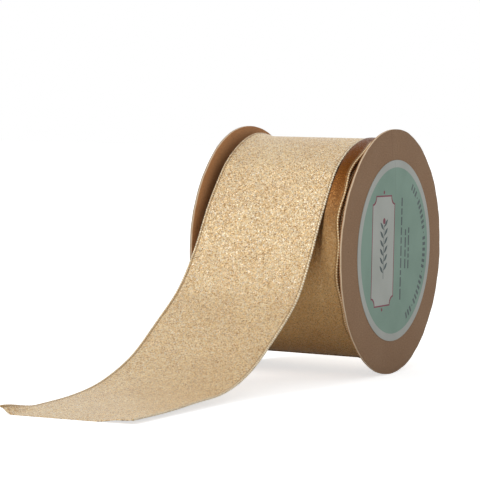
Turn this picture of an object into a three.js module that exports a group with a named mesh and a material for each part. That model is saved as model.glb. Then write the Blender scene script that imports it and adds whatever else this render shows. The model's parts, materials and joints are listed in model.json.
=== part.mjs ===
// Cardboard ribbon spool: two lined chipboard flanges on a paper core tube, a wound roll of
// wire-edged ribbon, and the ribbon's free end, which runs over the roll and down to the surface.
// Millimetres, +Z up. The spool's axis lies along X, its label faces +X, and the ribbon leaves
// towards -Y. The origin is under the middle of the whole part, on the surface it stands on.
import * as THREE from 'three';

// ---- driving dimensions -------------------------------------------------------------------
const FLANGE_RADIUS = 50;
const OVERALL_WIDTH = 67.5;          // outer liner to outer liner
const LINER = 0.2;                   // kraft paper on each side of the board
const BOARD = 0.7;                   // pale chipboard between the liners
const HOLE_RADIUS = 22;              // spindle hole through both flanges
const CORE_OUTER = 25;
const CORE_INNER = 23;
const GAP = 0.3;                     // clearance between pieces that touch on the real spool

const ROLL_RADIUS = 43.5;            // outside of the wound ribbon
const ROLL_LEFT = -30.2;             // the turns wander a little between the flanges
const ROLL_RIGHT = 29.2;
const ROLL_INNER = CORE_OUTER + 0.5; // leaves room for the starting tape
const EDGE_WIRE = 0.4;               // wire in each selvedge

const RIBBON_WIDTH = 50.8;
const RIBBON_THICKNESS = 0.4;
const RIBBON_CENTRE_X = -4.35;       // the last turn runs close to the plain flange
const CUT_SLANT = 5;                 // the cut end is longer on its left edge by this much

const LABEL_RADIUS = 37;
const LABEL_THICKNESS = 0.2;
const LABEL_OFFSET_Y = 1.1;          // the label is stuck on a little off centre
const LABEL_OFFSET_Z = 0.5;

const TAIL_REACH = 190.5;            // from the spool's axis to the tip of the free end
const AXIS_Y = (TAIL_REACH - FLANGE_RADIUS) / 2;
const AXIS_Z = FLANGE_RADIUS;
const SEGMENTS = 72;

// Middle line of the free ribbon, measured from the spool's axis: y, z, lean and drift. The lean is
// how far, in degrees, the right edge stands above the left one, and the drift is how far the
// ribbon's middle lies to the right of RIBBON_CENTRE_X. The ribbon first follows the roll.
const LAP_RADIUS = ROLL_RADIUS + GAP + RIBBON_THICKNESS / 2;
const LAP_FROM = -182;               // degrees from the top of the roll; minus is behind it
const LAP_TO = 46;
const LAP_STEP = 12;
const LAP_LIFT = 1.8;                // the last lap is slack, and stands off the roll near its top
const LAP_DRIFT = 1;
const LAP_CREST = 5;                 // degrees from the top, where the slack is greatest
const LAP_SPREAD = 110;              // degrees from there to where the lap lies tight again
const FREE_STATIONS = [
  [-43, 17, -2, 0.5],
  [-53, -0.5, -2.5, 0.1],
  [-65, -15.5, -3.5, 0],
  [-83, -28, -4, 0],
  [-102, -39, -2, 0],
  [-122, -45.2, -0.5, 0],
  [-143, -47.8, 1.1, 0],
  [-165, -48.8, 1.7, 0],
  [-188, -49, 1.5, 0],
];

// ---- materials ----------------------------------------------------------------------------
const kraft = new THREE.MeshStandardMaterial({ color: 0x8a6a4e, roughness: 0.85 });
const board = new THREE.MeshStandardMaterial({ color: 0xcdbda4, roughness: 0.95 });
const tube = new THREE.MeshStandardMaterial({ color: 0x9c8466, roughness: 0.9 });
const paper = new THREE.MeshStandardMaterial({ color: 0x9cc4b2, roughness: 0.6 });
const goldCloth = new THREE.MeshStandardMaterial({ color: 0xd0ab74, roughness: 0.45, metalness: 0.5 });
const steel = new THREE.MeshStandardMaterial({ color: 0xa98f5c, roughness: 0.4, metalness: 1 });
const glue = new THREE.MeshStandardMaterial({ color: 0xe6dcc2, roughness: 0.35 });
const tape = new THREE.MeshStandardMaterial({ color: 0xd9cfae, roughness: 0.25 });

const spool = new THREE.Group();
spool.position.set(0, AXIS_Y, AXIS_Z);

function addPiece(name, geometry, material) {
  const mesh = new THREE.Mesh(geometry, material);
  mesh.name = name;
  spool.add(mesh);
  return mesh;
}

// A solid of revolution about X from a closed profile of [radius, x] corners, listed with the
// outer wall running towards +X.
function turned(corners) {
  const profile = corners.map(([radius, x]) => new THREE.Vector2(radius, x));
  profile.push(profile[0].clone());
  const geometry = new THREE.LatheGeometry(profile, SEGMENTS);
  geometry.rotateZ(-Math.PI / 2);
  return geometry;
}

function ring(innerRadius, outerRadius, fromX, toX) {
  return turned([[innerRadius, fromX], [outerRadius, fromX], [outerRadius, toX], [innerRadius, toX]]);
}

// ---- flanges: board with a kraft liner on each side -----------------------------------------
function addFlange(side, outwards) {
  const outerFace = outwards * OVERALL_WIDTH / 2;
  const layers = [['outer_liner', LINER, kraft], ['board', BOARD, board], ['inner_liner', LINER, kraft]];
  let face = outerFace;
  for (const [layer, thickness, material] of layers) {
    const next = face - outwards * thickness;
    const disc = ring(HOLE_RADIUS, FLANGE_RADIUS, Math.min(face, next), Math.max(face, next));
    addPiece(`${side}_${layer}`, disc, material);
    face = next;
  }
  return face;
}

const innerLeft = addFlange('plain_side', -1);
const innerRight = addFlange('label_side', 1);

// ---- core tube, and the bead of glue that holds each flange on it ----------------------------
addPiece('core_tube', ring(CORE_INNER, CORE_OUTER, innerLeft, innerRight), tube);

function glueBead(face, inwards) {
  const bead = 1.4;
  const clearance = 0.05;
  const radius = CORE_OUTER + clearance;
  const near = face + inwards * clearance;
  const far = near + inwards * bead;
  const corners = [[radius, near], [radius + bead, near], [radius, far]];
  return turned(inwards > 0 ? corners : corners.reverse());
}

addPiece('plain_side_glue_bead', glueBead(innerLeft, 1), glue);
addPiece('label_side_glue_bead', glueBead(innerRight, -1), glue);

// ---- round label over the spindle hole --------------------------------------------------------
const labelInner = OVERALL_WIDTH / 2;
const labelOuter = labelInner + LABEL_THICKNESS;
const label = turned([[0, labelInner], [LABEL_RADIUS, labelInner], [LABEL_RADIUS, labelOuter], [0, labelOuter]]);
label.translate(0, LABEL_OFFSET_Y, LABEL_OFFSET_Z);
addPiece('round_label', label, paper);

// ---- wound ribbon, with the turns of its two edge wires ----------------------------------------
const clothLeft = ROLL_LEFT + EDGE_WIRE + GAP;
const clothRight = ROLL_RIGHT - EDGE_WIRE - GAP;
addPiece('wound_ribbon', ring(ROLL_INNER, ROLL_RADIUS, clothLeft, clothRight), goldCloth);
addPiece('wound_left_edge_wire', ring(ROLL_INNER, ROLL_RADIUS, ROLL_LEFT, ROLL_LEFT + EDGE_WIRE), steel);
addPiece('wound_right_edge_wire', ring(ROLL_INNER, ROLL_RADIUS, ROLL_RIGHT - EDGE_WIRE, ROLL_RIGHT), steel);

// ---- tape that holds the ribbon's inner end on the core ------------------------------------------
function startingTape() {
  const length = 40;
  const inner = CORE_OUTER + 0.15;
  const outer = inner + 0.12;
  const halfAngle = length / inner / 2;
  const outline = new THREE.Shape();
  outline.absarc(0, 0, outer, -halfAngle, halfAngle, false);
  outline.absarc(0, 0, inner, halfAngle, -halfAngle, true);
  const width = 18;
  const geometry = new THREE.ExtrudeGeometry(outline, { depth: width, bevelEnabled: false, curveSegments: 16 });
  geometry.translate(0, 0, -width / 2);
  geometry.rotateY(Math.PI / 2);
  return geometry;
}

addPiece('starting_tape', startingTape(), tape);

// ---- free ribbon -----------------------------------------------------------------------------
// Uniform Catmull-Rom value between evenly numbered stations.
function between(values, at) {
  const i = Math.min(Math.floor(at), values.length - 2);
  const t = at - i;
  const b = values[i];
  const c = values[i + 1];
  const a = i > 0 ? values[i - 1] : 2 * b - c;
  const d = i + 2 < values.length ? values[i + 2] : 2 * c - b;
  const cubic = -a + 3 * b - 3 * c + d;
  const square = 2 * a - 5 * b + 4 * c - d;
  return 0.5 * (2 * b + (c - a) * t + square * t * t + cubic * t * t * t);
}

const stations = [];
for (let degrees = LAP_FROM; degrees <= LAP_TO; degrees += LAP_STEP) {
  const angle = THREE.MathUtils.degToRad(degrees);
  const fromCrest = Math.min(Math.abs(degrees - LAP_CREST) / LAP_SPREAD, 1);
  const slack = Math.cos(fromCrest * Math.PI / 2) ** 1.5;
  const radius = LAP_RADIUS + LAP_LIFT * slack;
  stations.push([-radius * Math.sin(angle), radius * Math.cos(angle), 0, LAP_DRIFT * slack]);
}
stations.push(...FREE_STATIONS);
const [routeY, routeZ, routeLean, routeDrift] = [0, 1, 2, 3].map(
  (column) => stations.map((station) => station[column]),
);

// Place on the ribbon: `along` counts stations, `across` runs from the middle to the right edge,
// and `outwards` is the height above the ribbon's middle surface. The cut end is slanted.
function onRibbon(along, across, outwards) {
  const nudge = 0.01;
  const last = stations.length - 1;
  const before = Math.max(along - nudge, 0);
  const after = Math.min(along + nudge, last);
  const tangent = new THREE.Vector2(
    between(routeY, after) - between(routeY, before),
    between(routeZ, after) - between(routeZ, before),
  ).normalize();
  const lean = THREE.MathUtils.degToRad(between(routeLean, along));
  const height = across * Math.sin(lean) + outwards;
  const endShare = Math.max(along - (last - 1), 0);
  const slant = -endShare * CUT_SLANT * across / RIBBON_WIDTH;
  return new THREE.Vector3(
    RIBBON_CENTRE_X + between(routeDrift, along) + across * Math.cos(lean),
    between(routeY, along) + height * tangent.y + slant * tangent.x,
    between(routeZ, along) - height * tangent.x + slant * tangent.y,
  );
}

function ribbonStrip(halfWidth, steps) {
  const corners = [[-1, -1], [1, -1], [1, 1], [-1, 1]];
  const positions = [];
  for (let step = 0; step <= steps; step += 1) {
    const along = (stations.length - 1) * step / steps;
    for (const [across, outwards] of corners) {
      const place = onRibbon(along, across * halfWidth, outwards * RIBBON_THICKNESS / 2);
      positions.push(place.x, place.y, place.z);
    }
  }
  const faces = [0, 2, 1, 0, 3, 2];
  for (let step = 0; step < steps; step += 1) {
    for (let corner = 0; corner < 4; corner += 1) {
      const a = step * 4 + corner;
      const b = step * 4 + (corner + 1) % 4;
      faces.push(a, b, a + 4, b, b + 4, a + 4);
    }
  }
  const end = steps * 4;
  faces.push(end, end + 1, end + 2, end, end + 2, end + 3);
  const geometry = new THREE.BufferGeometry();
  geometry.setAttribute('position', new THREE.Float32BufferAttribute(positions, 3));
  geometry.setIndex(faces);
  geometry.computeVertexNormals();
  return geometry;
}

function edgeWire(across) {
  const sides = 6;
  const steps = 60;
  const points = [];
  for (let step = 0; step <= steps; step += 1) {
    points.push(onRibbon((stations.length - 1) * step / steps, across, 0));
  }
  const corners = [];
  for (let side = 0; side < sides; side += 1) {
    const angle = 2 * Math.PI * side / sides;
    corners.push(new THREE.Vector2(EDGE_WIRE / 2 * Math.cos(angle), EDGE_WIRE / 2 * Math.sin(angle)));
  }
  const path = new THREE.CatmullRomCurve3(points);
  return new THREE.ExtrudeGeometry(new THREE.Shape(corners), { extrudePath: path, steps, bevelEnabled: false });
}

const clothHalf = RIBBON_WIDTH / 2 - EDGE_WIRE - GAP;
const wireAcross = (RIBBON_WIDTH - EDGE_WIRE) / 2;
addPiece('ribbon_tail', ribbonStrip(clothHalf, 100), goldCloth);
addPiece('tail_left_edge_wire', edgeWire(-wireAcross), steel);
addPiece('tail_right_edge_wire', edgeWire(wireAcross), steel);

export default spool;
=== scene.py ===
"""A cardboard ribbon spool: lined flanges on a paper tube, a wound roll of gold wire-edged ribbon, and
the ribbon's free end, which runs over the roll and out along the floor.

Shapes are worked out in millimetres from the middle of the spool's axis: x along the axis towards the
label, y away from the free end, z up. Angles round the spool are in degrees from its top, and positive
angles lie towards the free end.
"""

import json
import math

import bpy
import numpy as np
from mathutils import Euler, Matrix, Vector
from mathutils.geometry import delaunay_2d_cdt

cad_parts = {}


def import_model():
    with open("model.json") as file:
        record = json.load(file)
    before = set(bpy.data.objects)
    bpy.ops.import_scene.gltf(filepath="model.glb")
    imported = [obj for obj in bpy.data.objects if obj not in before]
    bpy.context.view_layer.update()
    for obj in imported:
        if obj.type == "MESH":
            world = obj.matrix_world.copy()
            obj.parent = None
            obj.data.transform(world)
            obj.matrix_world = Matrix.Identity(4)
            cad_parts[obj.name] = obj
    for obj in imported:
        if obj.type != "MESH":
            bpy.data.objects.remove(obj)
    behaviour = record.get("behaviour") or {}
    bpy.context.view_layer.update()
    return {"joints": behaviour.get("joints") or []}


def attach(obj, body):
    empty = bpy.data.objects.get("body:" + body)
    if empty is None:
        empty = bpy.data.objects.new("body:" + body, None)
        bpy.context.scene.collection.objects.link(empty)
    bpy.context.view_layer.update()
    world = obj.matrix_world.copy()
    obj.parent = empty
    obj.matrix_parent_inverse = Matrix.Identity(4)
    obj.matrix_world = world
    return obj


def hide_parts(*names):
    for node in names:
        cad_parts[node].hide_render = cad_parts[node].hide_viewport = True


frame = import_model()

MM = 0.001
SPIN = next(j for j in frame["joints"] if j["name"] == "spool_spin")
AXIS = np.array(SPIN["pos_m"], float)


# ---- sizes, in millimetres -----------------------------------------------------------------------
FLANGE_RADIUS = 50
OVERALL_WIDTH = 67.5
LINER = 0.2
BOARD = 0.7
HOLE_RADIUS = 22
TUBE_OUTER = 25
TUBE_INNER = 23
ROLL_RADIUS = 43.5
OUTER_TURN = ROLL_RADIUS - 0.2
RIBBON_WIDTH = 50.8
HALF_WIDTH = RIBBON_WIDTH / 2
LABEL_RADIUS = 37
LABEL_THICKNESS = 0.2
LABEL_OFFSET = (1.1, 0.5)  # from the axis, towards +Y and up
INNER_FACE = OVERALL_WIDTH / 2 - BOARD - 2 * LINER
BULGE_AT = 12  # the angle where the roll's outer turn is slackest


# ---- meshes --------------------------------------------------------------------------------------
def in_frame(points):
    """Points in metres in the frame, from points in millimetres from the spool's axis."""
    return np.asarray(points, float) * MM + AXIS


def piece(name, points, faces, body, slot, materials, uv=None, face_materials=None, smooth=True):
    """A mesh object from points in millimetres from the spool's axis, riding on a body."""
    mesh = bpy.data.meshes.new(name)
    mesh.from_pydata(in_frame(points).tolist(), [], [list(map(int, face)) for face in faces])
    for material in materials:
        mesh.materials.append(material)
    if uv is not None:
        layer = mesh.uv_layers.new(name="cloth")
        corner = np.empty(len(mesh.loops), int)
        mesh.loops.foreach_get("vertex_index", corner)
        layer.data.foreach_set("uv", np.asarray(uv, float)[corner].ravel())
    if face_materials is not None:
        mesh.polygons.foreach_set("material_index", face_materials)
    mesh.polygons.foreach_set("use_smooth", [smooth] * len(mesh.polygons))
    mesh.update()
    made = bpy.data.objects.new(name, mesh)
    bpy.context.scene.collection.objects.link(made)
    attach(made, body)
    return made


def close_seam(made, length):
    """Carries the cloth's coordinates on past the join of a closed ring, so nothing is squeezed there."""
    spots = made.data.uv_layers["cloth"].data
    for face in made.data.polygons:
        along = [spots[corner].uv.y for corner in face.loop_indices]
        if max(along) - min(along) > length / 2:
            for corner in face.loop_indices:
                if spots[corner].uv.y < length / 2:
                    spots[corner].uv.y += length


def sharpen(made, degrees=35):
    """Keeps the corners of a smooth piece crisp where its faces meet at a steep angle."""
    made.data.set_sharp_from_angle(angle=math.radians(degrees))


def sweep_faces(rings, corners, closed=False):
    """Quads between rings of corners, with a cap at each end unless the sweep closes on itself."""
    faces = []
    for ring in range(rings if closed else rings - 1):
        a = ring * corners
        b = (ring + 1) % rings * corners
        for corner in range(corners):
            after = (corner + 1) % corners
            faces.append((a + corner, b + corner, b + after, a + after))
    if not closed:
        faces.append(tuple(range(corners)))
        faces.append(tuple(reversed(range((rings - 1) * corners, rings * corners))))
    return faces


def smoothstep(value, low, high):
    """0 at low and 1 at high, eased at both ends; low may be the greater one."""
    share = np.clip((value - low) / (high - low), 0, 1)
    return share * share * (3 - 2 * share)


def around(angle, radius):
    """y and z at an angle in degrees from the top of the spool, positive towards the free end."""
    turn = np.radians(angle)
    return -radius * np.sin(turn), radius * np.cos(turn)


# ---- materials -----------------------------------------------------------------------------------
CREASE_FOOT = (0.4, 23.1)  # y and z on the label, from the axis
CREASE_DEPTH = 0.3


class Finish:
    """A Principled material, with short ways to add nodes to it."""

    def __init__(self, name, **constants):
        self.material = bpy.data.materials.new(name)
        self.material.use_nodes = True
        self.tree = self.material.node_tree
        self.surface = self.tree.nodes["Principled BSDF"]
        for socket, value in constants.items():
            self.surface.inputs[socket.replace("_", " ")].default_value = value

    def node(self, kind, inputs=(), output=0, **settings):
        made = self.tree.nodes.new(kind)
        for setting, value in settings.items():
            setattr(made, setting, value)
        for socket, value in dict(inputs).items():
            self.feed(made.inputs[socket], value)
        return made.outputs[output]

    def feed(self, socket, value):
        if isinstance(value, bpy.types.NodeSocket):
            self.tree.links.new(value, socket)
        else:
            socket.default_value = value

    def place(self, uv=False):
        """Coordinates in millimetres: across and along the cloth, or from the frame's origin."""
        if uv:
            return self.node("ShaderNodeUVMap", uv_map="cloth")
        spot = self.node("ShaderNodeTexCoord", output="Object")
        return self.node("ShaderNodeVectorMath", {0: spot, "Scale": 1 / MM}, operation="SCALE")

    def axis_place(self):
        """Coordinates in millimetres from the spool's axis."""
        return self.vector("SUBTRACT", self.place(), tuple(AXIS / MM))

    def vector(self, operation, a, b=(0, 0, 0)):
        return self.node("ShaderNodeVectorMath", {0: a, 1: b}, operation=operation)

    def split(self, vector):
        made = self.tree.nodes.new("ShaderNodeSeparateXYZ")
        self.tree.links.new(vector, made.inputs[0])
        return made.outputs

    def maths(self, operation, a, b=0.0):
        return self.node("ShaderNodeMath", {0: a, 1: b}, operation=operation)

    def range(self, value, low, high, start=0.0, end=1.0):
        """start where the value is low and end where it is high, eased; low may be the greater one."""
        values = {"Value": value, "From Min": low, "From Max": high, "To Min": start, "To Max": end}
        return self.node("ShaderNodeMapRange", values, interpolation_type="SMOOTHSTEP")

    def noise(self, spot, scale, detail=2.0, roughness=0.5):
        values = {"Vector": spot, "Scale": scale, "Detail": detail, "Roughness": roughness}
        return self.node("ShaderNodeTexNoise", values)

    def cells(self, spot, randomness):
        """A pattern of flat cells: the distance in each, and each one's random colour."""
        values = {"Vector": spot, "Scale": 1.0, "Randomness": randomness}
        made = self.node("ShaderNodeTexVoronoi", values, voronoi_dimensions="2D").node
        return made.outputs["Distance"], made.outputs["Color"]

    def mix(self, share, a, b, blend="MIX"):
        """Colours mixed. The colour sockets of the node are its inputs 6 and 7 and its output 2."""
        values = {0: share, 6: a, 7: b}
        return self.node("ShaderNodeMix", values, output=2, data_type="RGBA", blend_type=blend)

    def stretched(self, spot, turn, per_mm):
        """Coordinates turned by an angle in degrees, and scaled to so many features per millimetre."""
        sizes = tuple(1 / count for count in per_mm)
        values = {"Vector": spot, "Rotation": (0, 0, math.radians(turn)), "Scale": sizes}
        return self.node("ShaderNodeMapping", values, vector_type="TEXTURE")

    def bump(self, height, strength, distance):
        values = {"Height": height, "Strength": strength, "Distance": distance * MM}
        return self.node("ShaderNodeBump", values)

    def crease(self, colour, slope, width, heights, dark):
        """Darkens a fine line that runs up the label side, where the flange was once bent."""
        y, z = self.split(self.axis_place())[1:]
        above = self.maths("SUBTRACT", z, CREASE_FOOT[1])
        line = self.maths("ADD", y, self.maths("MULTIPLY", above, slope))
        line = self.maths("ABSOLUTE", self.maths("SUBTRACT", line, CREASE_FOOT[0]))
        shown = self.maths("MULTIPLY", self.range(line, *width), self.range(z, *heights))
        return self.mix(self.maths("MULTIPLY", shown, CREASE_DEPTH), colour, dark)

    def finish(self, colour, roughness, normal):
        self.feed(self.surface.inputs["Base Color"], colour)
        self.feed(self.surface.inputs["Roughness"], roughness)
        self.feed(self.surface.inputs["Normal"], normal)
        return self.material


def linear(channel):
    """A linear value from an 8-bit sRGB one."""
    share = channel / 255
    return share / 12.92 if share <= 0.04045 else ((share + 0.055) / 1.055) ** 2.4


def rgb(red, green, blue):
    """A colour socket's value from 8-bit sRGB."""
    return (linear(red), linear(green), linear(blue), 1.0)


FLOAT_TURN = 43  # degrees between the weave's floats and the line across the cloth
FLOATS_PER_MM = (1.8, 3.7, 1)
STITCH_LINE = (23.9, 24.15, 24.45, 24.75)  # from the middle: starts, full, still full, ends
SELVEDGE = (24.75, 24.95)
STITCH_BEAT = 5.6  # radians of the stitches' rhythm for each millimetre


def gold_cloth(name, golds, contrast, sparkle, gloss, shade=None):
    """Lame: short metallic floats crossing at 45 degrees, pale wired selvedges and a stitch line.

    Each float lies at its own small tilt, so some catch the light. shade is a painted shade: it darkens
    a ring of cloth round the slack part of the turn.
    """
    f = Finish(name, IOR=1.5, Specular_IOR_Level=gloss, Sheen_Weight=gloss / 2, Sheen_Roughness=0.5)
    f.surface.inputs["Sheen Tint"].default_value = rgb(255, 240, 212)
    spot = f.place(uv=True)
    across, along, _ = f.split(spot)
    rise, rise_colour = f.cells(f.stretched(spot, FLOAT_TURN, FLOATS_PER_MM), 0.75)
    fall, fall_colour = f.cells(f.stretched(spot, -FLOAT_TURN, FLOATS_PER_MM), 0.75)
    chosen = f.range(f.noise(spot, 1.6, 0.0), 0.48, 0.52)
    chance = f.mix(chosen, rise_colour, fall_colour)
    float_red, float_green, float_blue = f.split(chance)
    dome = f.node("ShaderNodeMix", {0: chosen, 2: rise, 3: fall}, data_type="FLOAT")

    plain = f.range(float_red, 0.0, 0.5, 1 - contrast, 1.0)
    colour = f.mix(plain, rgb(*golds["deep"]), rgb(*golds["gold"]))
    colour = f.mix(f.range(float_red, 0.35, 0.9, 0.0, contrast), colour, rgb(*golds["pale"]))
    colour = f.mix(f.range(float_green, 0.74, 0.82, 0.0, contrast), colour, rgb(*golds["glint"]))
    yellow = f.maths("MULTIPLY", f.range(float_blue, 0.6, 0.75), 0.4)
    colour = f.mix(yellow, colour, rgb(250, 222, 150), "MULTIPLY")
    lilac = f.maths("MULTIPLY", f.range(float_blue, 0.3, 0.15), 0.4 * contrast**2)
    colour = f.mix(lilac, colour, rgb(226, 214, 232), "MULTIPLY")
    tone = f.noise(spot, 0.05, 2.0)
    colour = f.mix(f.range(tone, 0.3, 0.7, 0.0, 0.10), colour, rgb(196, 150, 96), "MULTIPLY")
    # painted shade: the shade colour darkens the cloth most where the outer turn is slackest, at BULGE_AT
    if shade is not None:
        turn = f.maths("ADD", f.maths("MULTIPLY", along, 1 / OUTER_TURN), math.radians(BULGE_AT))
        bulge = f.range(f.maths("COSINE", turn), -0.2, 0.95)
        colour = f.mix(bulge, colour, rgb(*shade), "MULTIPLY")

    edge = f.maths("ABSOLUTE", across)
    beat = f.range(f.maths("SINE", f.maths("MULTIPLY", along, STITCH_BEAT)), -0.6, 0.5)
    selvedge = f.mix(beat, rgb(*golds["edge_low"]), rgb(*golds["edge_high"]))
    colour = f.mix(f.range(edge, *SELVEDGE), colour, selvedge)
    starts, full, still_full, ends = STITCH_LINE
    stitch = f.maths("MULTIPLY", f.range(edge, starts, full), f.range(edge, ends, still_full))
    shown = f.maths("MULTIPLY", f.maths("ADD", f.maths("MULTIPLY", beat, 0.55), 0.45), 0.85)
    thread = rgb(*(0.84 * share for share in golds["deep"]))
    colour = f.mix(f.maths("MULTIPLY", stitch, shown), colour, thread)

    f.feed(f.surface.inputs["Metallic"], f.range(float_green, 0.3, 0.7, 0.25, 0.8))
    height = f.maths("SUBTRACT", 0.6, dome)
    height = f.maths("ADD", height, f.maths("MULTIPLY", f.noise(spot, 5.0, 1.0), 0.2))
    tilt = f.vector("SUBTRACT", chance, (0.5, 0.5, 0.5))
    tilt = f.node("ShaderNodeVectorMath", {0: tilt, "Scale": sparkle}, operation="SCALE")
    normal = f.vector("NORMALIZE", f.vector("ADD", f.bump(height, 0.5, 0.1), tilt))
    return f.finish(colour, f.range(float_blue, 0.0, 1.0, 0.26, 0.42), normal)


def kraft_paper(name, low, high, crease=False):
    """Brown kraft liner with short fibres, faint mottling and a few dark specks."""
    f = Finish(name, IOR=1.45)
    spot = f.place()
    fibre = f.noise(f.node("ShaderNodeMapping", {"Vector": spot, "Scale": (1, 0.45, 1.3)}), 1.6, 4.0, 0.65)
    mottle = f.noise(spot, 0.07, 3.0)
    colour = f.mix(f.range(fibre, 0.3, 0.72), rgb(*low), rgb(*high))
    colour = f.mix(f.range(mottle, 0.3, 0.7, 0.0, 0.12), colour, rgb(205, 176, 148), "MULTIPLY")
    values = {"Vector": spot, "Scale": 0.3, "Randomness": 1.0}
    speck = f.node("ShaderNodeTexVoronoi", values, output="Distance")
    keep = f.range(f.noise(spot, 0.11, 1.0), 0.52, 0.56)
    colour = f.mix(f.maths("MULTIPLY", f.range(speck, 0.075, 0.04), keep), colour, rgb(96, 66, 44))
    if crease:
        colour = f.crease(colour, 0.227, (0.32, 0.12), (35.0, 38.0), rgb(110, 80, 56))
    grain = f.noise(spot, 2.2, 5.0, 0.7)
    return f.finish(colour, f.range(grain, 0.3, 0.7, 0.72, 0.88), f.bump(grain, 0.25, 0.06))


def board_edge():
    """Pale chipboard, whose plies show as streaks round the cut rim."""
    f = Finish("pale_chipboard", IOR=1.45)
    spot = f.place()
    plies = f.noise(f.node("ShaderNodeMapping", {"Vector": spot, "Scale": (7, 0.35, 0.35)}), 1.0, 3.0)
    fluff = f.noise(spot, 3.0, 4.0, 0.7)
    colour = f.mix(f.range(plies, 0.3, 0.7), rgb(196, 172, 142), rgb(214, 192, 164))
    colour = f.mix(f.range(fluff, 0.55, 0.75, 0.0, 0.5), colour, rgb(190, 164, 130))
    return f.finish(colour, 0.9, f.bump(f.maths("ADD", plies, fluff), 0.5, 0.08))


def tube_paper():
    """Grey-brown spirally wound tube paper."""
    f = Finish("spiral_tube_paper", IOR=1.45)
    spot = f.place()
    fibre = f.noise(f.node("ShaderNodeMapping", {"Vector": spot, "Scale": (0.4, 1, 1)}), 2.0, 4.0, 0.65)
    mottle = f.noise(spot, 0.12, 3.0)
    colour = f.mix(f.range(fibre, 0.3, 0.7), rgb(150, 122, 92), rgb(186, 158, 122))
    colour = f.mix(f.range(mottle, 0.35, 0.7, 0.0, 0.4), colour, rgb(214, 198, 176), "MULTIPLY")
    return f.finish(colour, 0.88, f.bump(fibre, 0.35, 0.06))


def label_paper(name, low, high, roughness=0.6):
    """Smooth printed paper in one ink, with a faint tooth and a shallow crease."""
    f = Finish(name, IOR=1.45)
    spot = f.place()
    tooth = f.noise(spot, 1.8, 3.0, 0.6)
    cloud = f.noise(spot, 0.06, 2.0)
    share = f.maths("ADD", f.maths("MULTIPLY", tooth, 0.5), f.maths("MULTIPLY", cloud, 0.5))
    colour = f.mix(f.range(share, 0.36, 0.64), rgb(*low), rgb(*high))
    colour = f.crease(colour, 0.1, (0.3, 0.1), (20.0, 26.0), rgb(104, 116, 108))
    roughness = f.range(tooth, 0.3, 0.7, roughness - 0.06, roughness + 0.06)
    return f.finish(colour, roughness, f.bump(tooth, 0.12, 0.03))


def glue_finish():
    """Milky hot-melt glue, a little cloudy."""
    f = Finish("milky_glue", IOR=1.48, Coat_Weight=0.2, Transmission_Weight=0.15)
    spot = f.place()
    cloud = f.noise(spot, 0.5, 3.0)
    colour = f.mix(f.range(cloud, 0.3, 0.7), rgb(214, 203, 176), rgb(238, 231, 212))
    return f.finish(colour, f.range(cloud, 0.3, 0.7, 0.25, 0.45), f.bump(cloud, 0.3, 0.2))


def tape_finish():
    """Yellowish tape with faint streaks along it."""
    f = Finish("yellowish_tape", IOR=1.49, Coat_Weight=0.4)
    spot = f.place()
    streak = f.noise(f.node("ShaderNodeMapping", {"Vector": spot, "Scale": (0.2, 1.5, 1.5)}), 0.8, 3.0)
    colour = f.mix(f.range(streak, 0.3, 0.7), rgb(206, 192, 148), rgb(230, 220, 184))
    return f.finish(colour, f.range(streak, 0.3, 0.7, 0.18, 0.32), f.bump(streak, 0.2, 0.03))


def wire_finish():
    """Gold-coloured craft wire with fine drawing marks."""
    f = Finish("gold_craft_wire", Metallic=1.0, IOR=1.5)
    spot = f.place()
    marks = f.noise(spot, 4.0, 3.0, 0.6)
    colour = f.mix(f.range(marks, 0.3, 0.7), rgb(176, 142, 84), rgb(222, 190, 128))
    return f.finish(colour, f.range(marks, 0.3, 0.7, 0.28, 0.46), f.bump(marks, 0.2, 0.02))


TAIL_GOLDS = {
    "deep": (168, 128, 80), "gold": (218, 187, 140), "pale": (246, 224, 182), "glint": (255, 246, 220),
    "edge_low": (206, 180, 142), "edge_high": (246, 236, 210),
}
# the tail's golds made darker and warmer for the wound roll: painted shade on the same cloth
ROLL_GOLDS_WITH_PAINTED_SHADE = {
    "deep": (156, 116, 72), "gold": (211, 174, 122), "pale": (230, 197, 146), "glint": (246, 222, 176),
    "edge_low": (202, 166, 120), "edge_high": (240, 222, 182),
}
CLOTH = gold_cloth("champagne_lame", TAIL_GOLDS, 1.0, 0.78, 0.3)
ROLL_CLOTH_WITH_PAINTED_SHADE = gold_cloth("shaded_lame", ROLL_GOLDS_WITH_PAINTED_SHADE, 0.5, 0.2, 0.1)
# the outermost turn's cloth: the darker golds, and painted shade that is deepest over its slack part
OUTER_CLOTH_WITH_PAINTED_SHADE = gold_cloth("shaded_lame_outside", ROLL_GOLDS_WITH_PAINTED_SHADE, 0.4, 0.2, 0.06, shade=(138, 95, 26))
KRAFT = kraft_paper("kraft_paper", (135, 105, 78), (148, 116, 87))
KRAFT_FRONT = kraft_paper("kraft_paper_with_crease", (135, 105, 78), (148, 116, 87), crease=True)
# the inner liners: kraft colour with painted warm light bounced from the gold ribbon, so paler and more
# orange
KRAFT_INSIDE_WITH_PAINTED_BOUNCE = kraft_paper("kraft_paper_inside_painted_bounce", (176, 123, 78), (192, 138, 90))
PALE_BOARD = board_edge()
TUBE = tube_paper()
GLUE = glue_finish()
TAPE = tape_finish()
WIRE = wire_finish()


# ---- flanges -------------------------------------------------------------------------------------
WARP = 0.35  # how far a rim may lean out of true
WARP_FROM = 38
RIM_WANDER = 0.12  # how far a cut edge may wander in and out
FACE_RADII = (35, 40, 44, 47)  # where a layer's face may bend
FLANGE_SEGMENTS = 180


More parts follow.
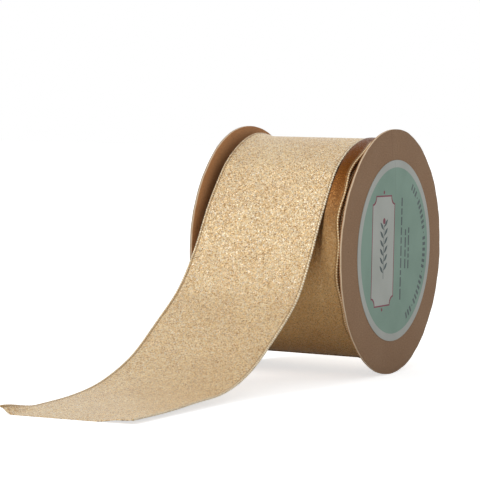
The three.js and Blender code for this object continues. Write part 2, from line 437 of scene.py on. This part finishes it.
def revolve(name, profile, shape, slot, material):
    """A ring round the spool's axis from a closed profile of (radius, x), made uneven by a shape."""
    points = []
    for segment in range(FLANGE_SEGMENTS):
        angle = 360 * segment / FLANGE_SEGMENTS
        for corner in profile:
            radius, x = shape(angle, *corner)
            points.append((x, *around(angle, radius)))
    faces = sweep_faces(FLANGE_SEGMENTS, len(profile), closed=True)
    made = piece(name, points, faces, "spool", slot, [material])
    sharpen(made)
    return made


def ripple(angle, seed, size):
    """A small value that varies smoothly round the spool and closes on itself."""
    phases = np.random.default_rng(seed).uniform(0, 2 * math.pi, 5)
    turn = math.radians(angle)
    waves = (2, 3, 7, 17, 41)
    weights = (0.3, 0.25, 0.2, 0.15, 0.1)
    return size * sum(w * math.sin(n * turn + p) for n, p, w in zip(waves, phases, weights))


def flange_shape(seed, side):
    """A flange's unevenness: it warps outside WARP_FROM, and its cut rim wanders in and out."""
    def shape(angle, radius, x):
        outer = smoothstep(radius, WARP_FROM, FLANGE_RADIUS)
        warp = side * WARP * outer * ripple(angle, seed, 1.0)
        return radius + ripple(angle, seed + 1, RIM_WANDER) * (radius > FLANGE_RADIUS - 1), x + warp

    return shape


def layer_profile(near, far, inner, outer, bevel):
    """The section of one flange layer, with its cut corners worn round."""
    low, high = min(near, far), max(near, far)
    soft = bevel * 0.3
    face_radii = [inner + 6, *FACE_RADII]
    return [
        (inner, low + bevel), (inner + soft, low + soft), (inner + bevel, low),
        *((radius, low) for radius in face_radii),
        (outer - bevel, low), (outer - soft, low + soft), (outer, low + bevel),
        (outer, high - bevel), (outer - soft, high - soft), (outer - bevel, high),
        *((radius, high) for radius in reversed(face_radii)),
        (inner + bevel, high), (inner + soft, high - soft), (inner, high - bevel),
    ]


def flange(side, outwards, seed):
    """One flange: a pale board between two liners, each worked inwards from the outer face."""
    face = outwards * OVERALL_WIDTH / 2
    outer_paper = KRAFT_FRONT if outwards > 0 else KRAFT
    # name, thickness, material, slot, how far it stops short of the cut edges, bevel
    layers = [
        ("outer_liner", LINER, outer_paper, "kraft_liner", 0.02, 0.07),
        ("board", BOARD, PALE_BOARD, "chipboard", 0.0, 0.18),
        ("inner_liner", LINER, KRAFT_INSIDE_WITH_PAINTED_BOUNCE, "kraft_liner", 0.02, 0.07),
    ]
    for layer, thickness, material, slot, short, bevel in layers:
        next_face = face - outwards * thickness
        profile = layer_profile(face, next_face, HOLE_RADIUS + short, FLANGE_RADIUS - short, bevel)
        node = f"{side}_{layer}"
        made = revolve(f"{node}_sheet", profile, flange_shape(seed, outwards), slot, material)
        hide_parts(node)
        face = next_face


flange("plain_side", -1, 3)
flange("label_side", 1, 8)


# ---- core tube, glue and tape --------------------------------------------------------------------
TUBE_STRIP = 38.0  # how far the tube's paper strip moves along it in one turn
TUBE_STEP = 0.12
GLUE_SIZE = 1.25
GLUE_GAP = 0.05
# The bead's outline from the tube outwards and round: along the flange and away from it, in bead sizes.
GLUE_OUTLINE = [(0, 0), (1, 0), (0.86, 0.28), (0.5, 0.62), (0.2, 0.9), (0, 1)]


def core_tube():
    """The tube's paper strips overlap along a spiral, which shows as a low step inside and out."""
    segments, rows = 120, 54
    points = []
    for segment in range(segments):
        angle = 360 * segment / segments
        outside = [(row, False) for row in range(rows + 1)]
        inside_back = [(row, True) for row in range(rows, -1, -1)]
        for row, is_inside in outside + inside_back:
            x = -INNER_FACE + 2 * INNER_FACE * row / rows
            place = ((x + INNER_FACE) / TUBE_STRIP + angle / 360) % 1.0
            step = TUBE_STEP * (1 - smoothstep(place, 0.0, 0.05)) + TUBE_STEP * place * 0.2
            radius = TUBE_INNER + step if is_inside else TUBE_OUTER - step
            points.append((x, *around(angle, radius)))
    faces = sweep_faces(segments, 2 * (rows + 1), closed=True)
    made = piece("core_tube_wound", points, faces, "spool", "tube_paper", [TUBE])
    sharpen(made, 50)
    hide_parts("core_tube")
    return made


def glue_bead(side, face, inwards, seed):
    """A bead of glue that wanders in thickness round the foot of the tube."""
    segments = 120
    foot = TUBE_OUTER + GLUE_GAP
    near = face + inwards * GLUE_GAP
    points = []
    for segment in range(segments):
        angle = 360 * segment / segments
        size = GLUE_SIZE + ripple(angle, seed, 0.45)
        section = [(foot + out * size, near + inwards * away * size) for out, away in GLUE_OUTLINE]
        if inwards < 0:
            section.reverse()
        points.extend((x, *around(angle, radius)) for radius, x in section)
    faces = sweep_faces(segments, len(GLUE_OUTLINE), closed=True)
    made = piece(f"{side}_glue_line", points, faces, "spool", "glue", [GLUE])
    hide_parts(f"{side}_glue_bead")


TUBE_PIECE = core_tube()
glue_bead("plain_side", -INNER_FACE, 1, 21)
glue_bead("label_side", INNER_FACE, -1, 22)

tape = bpy.data.objects["starting_tape"]
for material_slot in tape.material_slots:
    material_slot.material = TAPE


# ---- ribbon: its cross-section -------------------------------------------------------------------
BEAD_MIDDLE = HALF_WIDTH - 0.55
BEAD_REACH = 0.56
CLOTH_ENDS = HALF_WIDTH - 0.7
SELVEDGE_STEPS = [24.0, 24.4, 24.62, 24.85, 25.1, 25.28, 25.38]


def half_thickness(across, middle, bead):
    """Half the cloth's thickness: an even middle, and a bead round the wire in each selvedge."""
    reach = np.clip(np.abs(np.abs(across) - BEAD_MIDDLE) / BEAD_REACH, 0, 1)
    return np.maximum(middle * (np.abs(across) < CLOTH_ENDS), bead * np.sqrt(1 - reach**2))


def across_steps(inner):
    """Places across the ribbon from the left edge to the right one, close together in the selvedges."""
    right = inner + SELVEDGE_STEPS
    return np.array([-x for x in reversed(right) if x > 0] + right)


def ribbon_section(steps, middle, bead):
    """Corners of the closed section as (across, outwards), over the top and back underneath.

    middle and bead are half the thickness of the cloth and of its selvedges.
    """
    half = half_thickness(steps, middle, bead)
    top = list(zip(steps, half))
    under = list(zip(steps[::-1], -half[::-1]))
    return top + under


# ---- last lap and free end of the ribbon: the route of its middle line ---------------------------
RIBBON_CENTRE = -4.35  # x of the last lap's middle where it lies tight
LAP_RADIUS = ROLL_RADIUS + 0.5
LAP_FROM, LAP_TO, LAP_STEP = -182, 46, 12  # angles
LAP_LIFT = 1.8  # how much farther it stands off the roll where it is slackest
LAP_DRIFT = 1  # how far it lies to the right there
LAP_CREST = 5  # the angle where it is slackest
LAP_SPREAD = 110  # the angle over which the slack runs out
CUT_SLANT = 5  # how much longer the ribbon's left edge is than its right one
# y, z, how far the right edge leans up in degrees, and how far the middle drifts to the right
FREE_STATIONS = [
    (-43, 17, -2, 0.5), (-53, -0.5, -2.5, 0.1), (-65, -15.5, -3.5, 0), (-83, -28, -4, 0),
    (-102, -39, -2, 0), (-122, -45.2, -0.5, 0), (-143, -47.8, 1.1, 0), (-165, -48.8, 1.7, 0),
    (-188, -49, 1.5, 0),
]


def lap_slack(angles):
    """How slack the last lap is at an angle: 1 at its slackest and 0 where it lies tight."""
    from_crest = np.minimum(np.abs(angles - LAP_CREST) / LAP_SPREAD, 1)
    return np.maximum(np.cos(from_crest * math.pi / 2), 0) ** 1.5


# ---- wound ribbon --------------------------------------------------------------------------------
TURNS_FROM = TUBE_OUTER + 0.72
TURNS_TO = OUTER_TURN - 0.5
TURNS = 39
TURN_STEPS = 64
FIRST_SHIFT = -0.45  # x round which the inner turns' middles wander
LAST_SHIFT = -4.2  # x of the last turn's middle, which lies under the last lap
WIRE_RADIUS = 0.14


def turn_shift(turn):
    """How far the middle of a turn lies from the spool's middle: each one wanders a little."""
    wander = 2.2 * math.sin(turn * 0.83) + 1.1 * math.sin(turn * 2.17 + 1.0) + 0.5 * math.sin(turn * 5.1)
    inner = FIRST_SHIFT + wander
    return inner + (LAST_SHIFT - inner) * float(smoothstep(turn, TURNS - 2.5, TURNS - 0.6))


def spiral_radius(turn):
    """The radius of the wound strip after so many turns."""
    return TURNS_FROM + (TURNS_TO - TURNS_FROM) * turn / TURNS


def wound_turns():
    """One strip wound round the tube. It is thinner than the spiral's pitch, so its turns stay apart."""
    steps = across_steps([0, 12.7])
    steps = steps[(np.abs(steps) < 24.5) | (np.abs(steps) > 24.8)]  # a plainer selvedge
    section = ribbon_section(steps, middle=0.13, bead=0.19)
    rings = TURNS * TURN_STEPS + 1
    points, uv = [], []
    length = 0.0
    for ring in range(rings):
        turn = ring / TURN_STEPS
        radius = spiral_radius(turn)
        shift = turn_shift(turn)
        for across, outwards in section:
            points.append((shift + across, *around(-360 * turn, radius + outwards)))
            uv.append((across, length))
        length += 2 * math.pi * radius / TURN_STEPS
    faces = [tuple(reversed(face)) for face in sweep_faces(rings, len(section))]
    made = piece("wound_ribbon_turns", points, faces, "spool", "gold_ribbon", [ROLL_CLOTH_WITH_PAINTED_SHADE], uv=uv)
    return made, length


def wound_wire(name, side):
    """The wire in one selvedge of the wound strip."""
    corners = 5
    points = []
    rings = TURNS * TURN_STEPS + 1
    for ring in range(rings):
        turn = ring / TURN_STEPS
        for corner in range(corners):
            around_wire = 2 * math.pi * corner / corners
            out = WIRE_RADIUS * math.cos(around_wire)
            x = turn_shift(turn) + side * BEAD_MIDDLE + WIRE_RADIUS * math.sin(around_wire)
            points.append((x, *around(-360 * turn, spiral_radius(turn) + out)))
    made = piece(f"{name}_turns", points, sweep_faces(rings, corners), "spool", "edge_wire", [WIRE])
    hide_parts(name)
    return made


OUTER_SHIFT = 3.0  # x of the outermost turn's middle
OUTER_WAVES = 12  # short waves in its edge, once round
OUTER_WAVE = 0.55
OUTER_WAVE_AT = 49  # an angle where a wave starts
OUTER_PROUD = (0.15, 2.85)  # how far its right margin stands proud anywhere, and how much more at the bulge
TIGHT_RISE = 0.42  # the share of that height it gains beside the tight lap; the rest comes beyond the slack


def outer_turn_place(angle):
    """How far the outermost turn lies to the right, and how far its right margin stands proud.

    Its edge wanders in short waves, and bulges most where the turn is slack near the top.
    """
    size = 0.65 + 0.35 * math.cos(math.radians(angle - 50))
    wave = OUTER_WAVE * math.sin(math.radians((angle - OUTER_WAVE_AT) * OUTER_WAVES)) * size
    beyond = float(smoothstep(angle % 360, 58, 84) * smoothstep(angle % 360, 300, 200))
    bulge = (1 + math.cos(math.radians(angle - BULGE_AT))) / 2
    shift = OUTER_SHIFT + wave + 0.9 * beyond + ripple(angle, 31, 0.2)
    return shift, OUTER_PROUD[0] + OUTER_PROUD[1] * bulge**2.2


def outer_turn():
    """The outermost wound turn. It rises just to the right of the last lap, which covers the rest."""
    rising = [16.6, 17.2, 17.6, 18, 18.4, 18.8, 19.2, 19.6, 20, 20.4]
    steps = across_steps([0, 5, 10, 14, *rising, 21.2, 22.7])
    section = ribbon_section(steps, middle=0.15, bead=0.34)
    length = 2 * math.pi * OUTER_TURN
    tight_edge = RIBBON_CENTRE + HALF_WIDTH
    rings = 288
    points, uv = [], []
    for ring in range(rings):
        angle = -360 * ring / rings
        shift, proud = outer_turn_place(angle)
        lap_edge = tight_edge + LAP_DRIFT * float(lap_slack(math.remainder(angle, 360)))
        for across, outwards in section:
            x = shift + across
            rise = TIGHT_RISE * float(smoothstep(x, tight_edge + 0.05, tight_edge + 0.6))
            rise += (1 - TIGHT_RISE) * float(smoothstep(x, lap_edge - 0.2, lap_edge + 0.7))
            sag = 0.25 * proud * float(smoothstep(x, 24.5, 28.0))
            points.append((x, *around(angle, OUTER_TURN + outwards + proud * rise - sag)))
            uv.append((across, length * ring / rings))
    faces = [tuple(reversed(face)) for face in sweep_faces(rings, len(section), closed=True)]
    made = piece("wound_ribbon_outer_turn", points, faces, "spool", "gold_ribbon", [OUTER_CLOTH_WITH_PAINTED_SHADE], uv=uv)
    close_seam(made, length)
    return made


inner_turns, wound_length = wound_turns()
last_turn = outer_turn()
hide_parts("wound_ribbon")
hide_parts("wound_ribbon")
wound_wires = [wound_wire("wound_left_edge_wire", -1), wound_wire("wound_right_edge_wire", 1)]


# ---- free ribbon ---------------------------------------------------------------------------------
def smooth_between(values, at):
    """Uniform Catmull-Rom value between evenly numbered stations."""
    values = np.concatenate([[2 * values[0] - values[1]], values, [2 * values[-1] - values[-2]]])
    i = np.minimum(at.astype(int), len(values) - 4)
    t = at - i
    a, b, c, d = values[i], values[i + 1], values[i + 2], values[i + 3]
    cubic = -a + 3 * b - 3 * c + d
    square = 2 * a - 5 * b + 4 * c - d
    return 0.5 * (2 * b + (c - a) * t + square * t * t + cubic * t**3)


PATH_STEPS = 4000


class Path:
    """The ribbon's middle line by length in millimetres from the start of its last lap."""

    def __init__(self):
        angles = np.arange(LAP_FROM, LAP_TO + 1, LAP_STEP)
        slack = lap_slack(angles)
        y, z = around(angles, LAP_RADIUS + LAP_LIFT * slack)
        lap = np.column_stack([y, z, np.zeros(len(angles)), LAP_DRIFT * slack])
        stations = np.vstack([lap, FREE_STATIONS])
        at = np.linspace(0, len(stations) - 1, PATH_STEPS)
        self.columns = [smooth_between(stations[:, column], at) for column in range(4)]
        self.y, self.z = self.columns[:2]
        self.run = np.concatenate([[0], np.cumsum(np.hypot(np.diff(self.y), np.diff(self.z)))])
        self.length = self.run[-1]
        self.lap_length = np.interp(len(angles) - 1, at, self.run)

    def at(self, run):
        """y, z, lean in radians, drift, and the unit tangent; past the end the path goes straight on."""
        within = min(max(run, 0.0), self.length)
        y, z, lean, drift = (float(np.interp(within, self.run, v)) for v in self.columns)
        before, after = max(within - 0.4, 0), min(within + 0.4, self.length)
        step = [np.interp(after, self.run, v) - np.interp(before, self.run, v) for v in (self.y, self.z)]
        size = math.hypot(*step)
        tangent = (step[0] / size, step[1] / size)
        past = run - within
        return y + past * tangent[0], z + past * tangent[1], math.radians(lean), drift, tangent


PATH = Path()
FLOOR = -AXIS[2] / MM
TAIL_RINGS = 230
TAIL_WIRE_RADIUS = 0.16
LEFT_EDGE_PROUD = (0.3, 0.85)  # on the roll: everywhere, and how much more behind its crest
WAVE = 0.15
DROOP = 0.9  # of the right side where the ribbon hangs
CORNER_CURL = 2.8  # of the left corner at the cut
END_WAVE = 0.4  # to the right of the cut end's middle
END_SAG = 1.3  # of the cut end's middle, between the two wires


def slanted_run(run, across):
    """Length along the ribbon at a place across it, whose last stretch is skewed for a slanting cut."""
    near_end = float(smoothstep(run, PATH.length - 45, PATH.length))
    return run - near_end * CUT_SLANT * across / RIBBON_WIDTH


def tail_lift(run, across):
    """How far the cloth stands off its middle surface: proud at the left edge on the roll, slightly wavy,
    drooping to the right where it hangs, and curled and sagging at the cut end.
    """
    free = run - PATH.lap_length
    to_end = PATH.length - run
    on_roll = 1 - float(smoothstep(free, -6, 30))
    proud = LEFT_EDGE_PROUD[0] + LEFT_EDGE_PROUD[1] * float(smoothstep(free, -14, -36))
    lift = proud * on_roll * float(smoothstep(-across, 18.5, HALF_WIDTH)) ** 1.4
    settle = float(smoothstep(free, 20, 60))
    lift += settle * WAVE * math.sin(run * 0.11 + across * 0.06) * math.cos(across * 0.13)
    drooping = settle * float(smoothstep(to_end, 40, 72))
    lift -= DROOP * drooping * float(smoothstep(across, 13, HALF_WIDTH)) ** 1.5
    corner = float(smoothstep(-across, 20.5, HALF_WIDTH)) * float(smoothstep(to_end, 22, 0))
    lift += CORNER_CURL * corner
    lift += END_WAVE * float(smoothstep(to_end, 14, 0)) * math.exp(-((across - 18) / 3.2) ** 2)
    lift -= END_SAG * float(smoothstep(to_end, 26, 0)) * max(1 - (across / HALF_WIDTH) ** 2, 0) ** 0.7
    return lift


def tail_spot(run, across, outwards):
    """A point of the free ribbon: run along it, across from its middle, and above its middle surface."""
    y, z, lean, drift, tangent = PATH.at(slanted_run(run, across))
    height = across * math.sin(lean) + tail_lift(run, across) + outwards
    x = RIBBON_CENTRE + drift + across * math.cos(lean)
    y, z = y + height * tangent[1], z - height * tangent[0]
    clear = 0.21 + 0.21 * float(smoothstep(abs(across), 21.5, 24))
    return x, y, max(z, FLOOR + clear + min(outwards, 0))


def free_ribbon():
    """The last lap and free end as one sheet, draped from the roll to the floor."""
    steps = across_steps([0, 3, 6, 9, 12, 14.5, 17, 19, 21, 22.7])
    section = ribbon_section(steps, middle=0.15, bead=0.36)
    points, uv = [], []
    for ring in range(TAIL_RINGS + 1):
        run = PATH.length * ring / TAIL_RINGS
        for across, outwards in section:
            points.append(tail_spot(run, across, outwards))
            uv.append((across, slanted_run(run, across)))
    faces = sweep_faces(TAIL_RINGS + 1, len(section))
    made = piece("free_ribbon_cloth", points, faces, "free_ribbon", "gold_ribbon", [CLOTH], uv=uv)
    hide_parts("ribbon_tail")
    return made


def tail_wire(name, side):
    """The wire in one selvedge; its cut end stands just past the cloth."""
    corners = 8
    points = []
    for ring in range(TAIL_RINGS + 1):
        run = 0.4 + (PATH.length + 0.3) * ring / TAIL_RINGS
        for corner in range(corners):
            turn = 2 * math.pi * corner / corners
            across = side * BEAD_MIDDLE + TAIL_WIRE_RADIUS * math.sin(turn)
            points.append(tail_spot(run, across, TAIL_WIRE_RADIUS * math.cos(turn)))
    faces = sweep_faces(TAIL_RINGS + 1, corners)
    made = piece(f"{name}_drawn", points, faces, "free_ribbon", "edge_wire", [WIRE])
    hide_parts(name)
    return made


tail = free_ribbon()
tail_wires = [tail_wire("tail_left_edge_wire", -1), tail_wire("tail_right_edge_wire", 1)]


# ---- label ---------------------------------------------------------------------------------------
# The label is drawn flat, in millimetres from its middle: first number towards +Y, second one up.
BORDER, GREEN, PLAQUE, BURGUNDY, GREY, BACK = range(6)  # its papers and inks, in the order of their slots
GREEN_RADIUS = 34.0
PLAQUE_MIDDLE = (-12.3, 0.3)
PLAQUE_SIZE = (21.2, 43.8)
PLAQUE_LINE = 0.6  # thickness of the line round the plaque
PLAQUE_NOTCH = 3.4
PLAQUE_DOT, PLAQUE_DOT_AT = 0.75, 23.7  # radius, and how far from the plaque's middle
SPRIG_MIDDLE = PLAQUE_MIDDLE[0] + 0.6
STEM = (0.45, 22.0)
LEAF_SIZE = (1.5, 4.6)
LEAF_TURN = 48
LEAF_PAIRS, LEAF_FROM, LEAF_PITCH = 6, -8.6, 3.5
BERRY, BERRY_AT = 1.25, 12.4
BAR_WIDTH = 1.3
TEXT_LINES = [(6.1, -20.5, 22.3), (10.4, -7.8, 8.3), (13.7, -8.0, 9.0)]  # place, from, to
TEXT_SEED = 41
BAR_LENGTHS = (1.6, 4.6)
BAR_GAP = 0.9
SHORTEST_BAR = 0.6
ARC_RADIUS = 30.4
ARC_FROM, ARC_PITCH, ARC_MARKS = 33, 4.5, 28
ARC_MARK = 2.8
ARC_DOT = 0.4


def circle(radius, count=96, middle=(0, 0)):
    """A round outline with so many corners."""
    turns = np.linspace(0, 2 * math.pi, count, endpoint=False)
    return [(middle[0] + radius * math.sin(t), middle[1] + radius * math.cos(t)) for t in turns]


def ticket(middle, width, height, notch):
    """An upright ticket outline whose corners are scooped out."""
    outline = []
    for side_a, side_b, start in ((1, 1, 180), (1, -1, 90), (-1, -1, 0), (-1, 1, 270)):
        corner = (middle[0] + side_a * width / 2, middle[1] + side_b * height / 2)
        for step in range(7):
            turn = math.radians(start + 90 * step / 6)
            outline.append((corner[0] + notch * math.cos(turn), corner[1] + notch * math.sin(turn)))
    return outline


def turned(points, place, degrees):
    """Points turned clockwise round the origin, and then moved to a place."""
    c, s = math.cos(math.radians(degrees)), math.sin(math.radians(degrees))
    return [(place[0] + x * c + y * s, place[1] - x * s + y * c) for x, y in points]


def bar(middle, width, height, turn=0.0):
    """A small printed bar, turned clockwise from upright by an angle in degrees."""
    a, b = width / 2, height / 2
    return turned([(-a, -b), (-a, b), (a, b), (a, -b)], middle, turn)


def leaf(foot, turn):
    """A pointed leaf that grows from its foot."""
    width, length = LEAF_SIZE
    right = [(width / 2 * math.sin(math.pi * t), length * t) for t in np.linspace(0, 1, 7)]
    left = [(-x, y) for x, y in reversed(right[1:-1])]
    return turned(right + left, foot, turn)


def plaque():
    """A ticket with a fine line round it, and a dot beyond each end."""
    width, height = PLAQUE_SIZE
    outer = (width + 2 * PLAQUE_LINE, height + 2 * PLAQUE_LINE)
    yield ticket(PLAQUE_MIDDLE, *outer, PLAQUE_NOTCH), BURGUNDY
    yield ticket(PLAQUE_MIDDLE, width, height, PLAQUE_NOTCH), PLAQUE
    for end in (1, -1):
        place = (PLAQUE_MIDDLE[0], PLAQUE_MIDDLE[1] + end * PLAQUE_DOT_AT)
        yield circle(PLAQUE_DOT, 12, place), BURGUNDY


def sprig():
    """A generic leafy sprig with a berry at its tip, in the place of the plaque's writing."""
    yield bar((SPRIG_MIDDLE, 0.0), *STEM), GREY
    for number in range(LEAF_PAIRS):
        height = LEAF_FROM + LEAF_PITCH * number
        yield leaf((SPRIG_MIDDLE - 0.3, height), -LEAF_TURN), GREY
        yield leaf((SPRIG_MIDDLE + 0.3, height + 1.1), LEAF_TURN), GREY
    yield circle(BERRY, 16, (SPRIG_MIDDLE, BERRY_AT)), BURGUNDY


def plain_lines():
    """Rows of bars of chance lengths, in the place of the small print. They spell nothing."""
    for number, (x, place, end) in enumerate(TEXT_LINES):
        chance = np.random.default_rng(TEXT_SEED + number)
        while place < end:
            length = min(chance.uniform(*BAR_LENGTHS), end - place)
            if length > SHORTEST_BAR:
                yield bar((x, place + length / 2), BAR_WIDTH, length), GREY
            place += length + BAR_GAP


def arc_marks():
    """Marks round the rim that point outwards, with a dot for every seventh one. They spell nothing."""
    for number in range(ARC_MARKS):
        angle = ARC_FROM + ARC_PITCH * number
        turn = math.radians(angle)
        middle = (ARC_RADIUS * math.sin(turn), ARC_RADIUS * math.cos(turn))
        if number % 7 == 3:
            yield circle(ARC_DOT, 10, middle), GREY
        else:
            yield bar(middle, BAR_WIDTH, ARC_MARK, angle), GREY


def label_shapes():
    """Closed outlines with the paper or ink that fills each; a later outline lies over an earlier one."""
    discs = [(circle(LABEL_RADIUS), BORDER), (circle(GREEN_RADIUS), GREEN)]
    return [*discs, *plaque(), *sprig(), *plain_lines(), *arc_marks()]


def inside(point, outline):
    """True if a point lies in a closed outline."""
    x, y = point
    found = False
    for (ax, ay), (bx, by) in zip(outline, outline[1:] + outline[:1]):
        if (ay > y) != (by > y) and x < (bx - ax) * (y - ay) / (by - ay) + ax:
            found = not found
    return found


def printed_face():
    """The label's flat face as corners, triangles that face the viewer, and each triangle's ink."""
    shapes = label_shapes()
    flat, edges = [], []
    for outline, _ in shapes:
        first = len(flat)
        flat.extend(outline)
        edges.extend((first + i, first + (i + 1) % len(outline)) for i in range(len(outline)))
    made = delaunay_2d_cdt([Vector(p) for p in flat], edges, [], 0, 1e-5)
    corners, triangles = made[0], made[2]
    boxes = [(np.min(outline, axis=0), np.max(outline, axis=0)) for outline, _ in shapes]
    front, inks = [], []
    for triangle in triangles:
        middle = sum((corners[i] for i in triangle), Vector((0, 0))) / 3
        ink = None
        for (outline, filled), (low, high) in zip(shapes, boxes):
            near_it = low[0] <= middle[0] <= high[0] and low[1] <= middle[1] <= high[1]
            if near_it and inside(middle, outline):
                ink = filled
        if ink is not None:
            a, b, c = (corners[i] for i in triangle)
            flip = (b - a).cross(c - a) < 0
            front.append(tuple(reversed(triangle)) if flip else tuple(triangle))
            inks.append(ink)
    return corners, front, inks


def round_label():
    """The round paper label. Its print is cut into its face, so each ink fills its own faces."""
    corners, front, inks = printed_face()
    near = OVERALL_WIDTH / 2 + 0.01
    far = OVERALL_WIDTH / 2 + LABEL_THICKNESS
    points = [(far, LABEL_OFFSET[0] + p[0], LABEL_OFFSET[1] + p[1]) for p in corners]
    count = len(points)
    points += [(near, y, z) for _, y, z in points]
    back = [tuple(count + i for i in reversed(face)) for face in front]
    sides = [edge for face in front for edge in zip(face, face[1:] + face[:1])]
    known = set(sides)
    rim = [(b, a, count + a, count + b) for a, b in sides if (b, a) not in known]
    papers = {
        BORDER: label_paper("label_border_paper", (160, 163, 157), (169, 172, 166)),
        GREEN: label_paper("label_green_ink", (117, 143, 129), (127, 153, 139)),
        PLAQUE: label_paper("label_plaque_paper", (161, 165, 158), (171, 174, 168)),
        BURGUNDY: label_paper("label_burgundy_ink", (112, 42, 60), (130, 56, 72), 0.5),
        GREY: label_paper("label_grey_ink", (62, 76, 76), (80, 94, 92), 0.5),
        BACK: label_paper("label_back_paper", (222, 218, 208), (236, 233, 226)),
    }
    label = piece(
        "round_label_print", points, front + back + rim, "spool", "label_paper", list(papers.values()),
        face_materials=inks + [BACK] * len(back) + [BORDER] * len(rim), smooth=False,
    )
    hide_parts("round_label")


round_label()


# ---- floor, light and camera ---------------------------------------------------------------------
FLOOR_SIZE = 6.0  # metres from the middle to each side
FLOOR_GLOW = 0.65  # what the camera sees of the floor before any light falls on it
FLOOR_SHADED = 0.7  # how pale the light and shadow on it look to the camera
FLOOR_BOUNCE = 0.85  # how pale it is for every other ray
FILL = 0.66  # the surround's light


def grey_shader(tree, kind, shade, strength=None):
    """A new shader in a grey from 0 to 1, as its output socket."""
    made = tree.nodes.new(kind)
    made.inputs["Color"].default_value = (shade, shade, shade, 1)
    if strength is not None:
        made.inputs["Strength"].default_value = strength
    return made.outputs[0]


def seen_and_lit(tree, output, seen, lit):
    """One shader for what the camera sees and another one for every other ray."""
    ray = tree.nodes.new("ShaderNodeLightPath")
    mix = tree.nodes.new("ShaderNodeMixShader")
    out = tree.nodes.new(output)
    tree.links.new(ray.outputs["Is Camera Ray"], mix.inputs[0])
    tree.links.new(lit, mix.inputs[1])
    tree.links.new(seen, mix.inputs[2])
    tree.links.new(mix.outputs[0], out.inputs["Surface"])


def floor():
    """A plain pale floor. The camera sees it white, but for its shadows."""
    size = FLOOR_SIZE
    mesh = bpy.data.meshes.new("floor")
    corners = [(-size, -size, 0), (size, -size, 0), (size, size, 0), (-size, size, 0)]
    mesh.from_pydata(corners, [], [(0, 1, 2, 3)])
    made = bpy.data.objects.new("floor", mesh)
    bpy.context.scene.collection.objects.link(made)
    material = bpy.data.materials.new("floor")
    material.use_nodes = True
    tree = material.node_tree
    tree.nodes.clear()
    seen = tree.nodes.new("ShaderNodeAddShader")
    tree.links.new(grey_shader(tree, "ShaderNodeEmission", 1, FLOOR_GLOW), seen.inputs[0])
    tree.links.new(grey_shader(tree, "ShaderNodeBsdfDiffuse", FLOOR_SHADED), seen.inputs[1])
    lit = grey_shader(tree, "ShaderNodeBsdfDiffuse", FLOOR_BOUNCE)
    seen_and_lit(tree, "ShaderNodeOutputMaterial", seen.outputs[0], lit)
    mesh.materials.append(material)


def world():
    """A white surround that gives less light than the camera sees in it."""
    made = bpy.data.worlds.new("studio")
    bpy.context.scene.world = made
    made.use_nodes = True
    tree = made.node_tree
    tree.nodes.clear()
    seen = grey_shader(tree, "ShaderNodeBackground", 1, 1.0)
    lit = grey_shader(tree, "ShaderNodeBackground", 1, FILL)
    seen_and_lit(tree, "ShaderNodeOutputWorld", seen, lit)


def softbox(name, towards, strength, spread):
    """A wide soft light from far off, in the direction towards it."""
    light = bpy.data.lights.new(name, "SUN")
    light.energy = strength
    light.angle = math.radians(spread)
    made = bpy.data.objects.new(name, light)
    made.rotation_mode = "QUATERNION"
    made.rotation_quaternion = Vector(towards).to_track_quat("Z", "Y")
    bpy.context.scene.collection.objects.link(made)


floor()
world()
softbox("key", (-0.5, -0.5, 0.85), 0.83, 32)
softbox("front", (0.12, -0.95, 0.25), 0.31, 50)
softbox("back", (-0.35, 0.72, 0.62), 0.2, 60)

# The camera's place is in millimetres from the middle of the spool's axis, and its turns are in degrees.
CAMERA_PLACE = (375.287, -794.773, 52.745)
CAMERA_TURNS = (86.73785, -1.15407, 27.47765)


def camera():
    """The photograph's camera: a long lens, a little above the spool's axis."""
    data = bpy.data.cameras.new("camera")
    data.sensor_width = 36
    data.lens = 158.92
    data.clip_start = 0.05
    data.clip_end = 50
    made = bpy.data.objects.new("camera", data)
    bpy.context.scene.collection.objects.link(made)
    turns = Euler([math.radians(turn) for turn in CAMERA_TURNS])
    made.matrix_world = Matrix.Translation(Vector(in_frame(CAMERA_PLACE))) @ turns.to_matrix().to_4x4()
    bpy.context.scene.camera = made


camera()
bpy.context.scene.view_settings.view_transform = "Standard"
